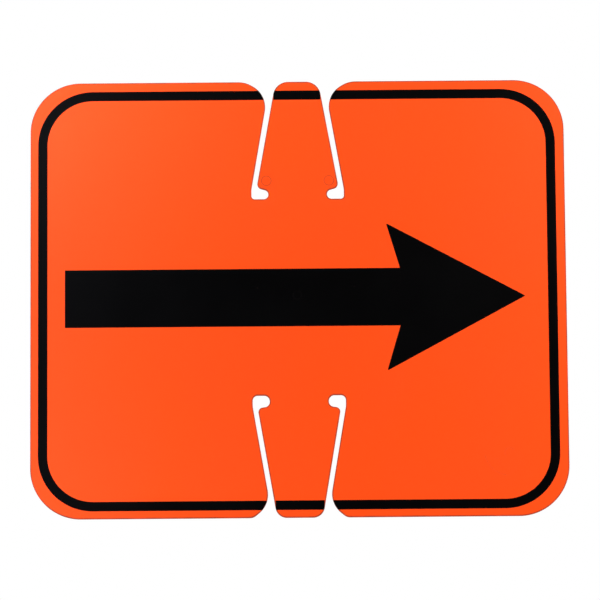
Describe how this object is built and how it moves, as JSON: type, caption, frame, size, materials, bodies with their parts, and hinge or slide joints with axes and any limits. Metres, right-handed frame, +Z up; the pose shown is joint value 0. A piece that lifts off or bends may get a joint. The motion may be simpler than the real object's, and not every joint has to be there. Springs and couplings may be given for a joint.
{
  "type": "traffic cone sign",
  "caption": "Flat clip-on plastic arrow sign for a traffic cone, with spring tongues between hooked slits in its top and bottom edges.",
  "frame": {"origin": "the middle of the sheet: half its width, half its height and half its thickness", "axes": "+X to the right along the arrow, +Z up, and the printed front face towards -Y"},
  "size_m": [0.3206, 0.0021, 0.2636],
  "materials": {
    "orange_plastic": "satin",
    "black_ink": "satin"
  },
  "bodies": {
    "panel": {"panel": "orange_plastic", "arrow_print": "black_ink", "left_border_print": "black_ink", "right_border_print": "black_ink"},
    "upper_tongue": {"upper_tongue": "orange_plastic", "upper_tongue_border_print": "black_ink"},
    "lower_tongue": {"lower_tongue": "orange_plastic", "lower_tongue_border_print": "black_ink"}
  },
  "joints": [
    {"name": "upper_tongue_flex", "type": "hinge", "parent": "panel", "child": "upper_tongue", "pos_m": [0, 0, 0.063], "axis": [1, 0, 0], "range_deg": [-30, 30], "stiffness_Nm_per_rad": 2.3},
    {"name": "lower_tongue_flex", "type": "hinge", "parent": "panel", "child": "lower_tongue", "pos_m": [0, 0, -0.0622], "axis": [1, 0, 0], "range_deg": [-30, 30], "stiffness_Nm_per_rad": 2.3}
  ]
}
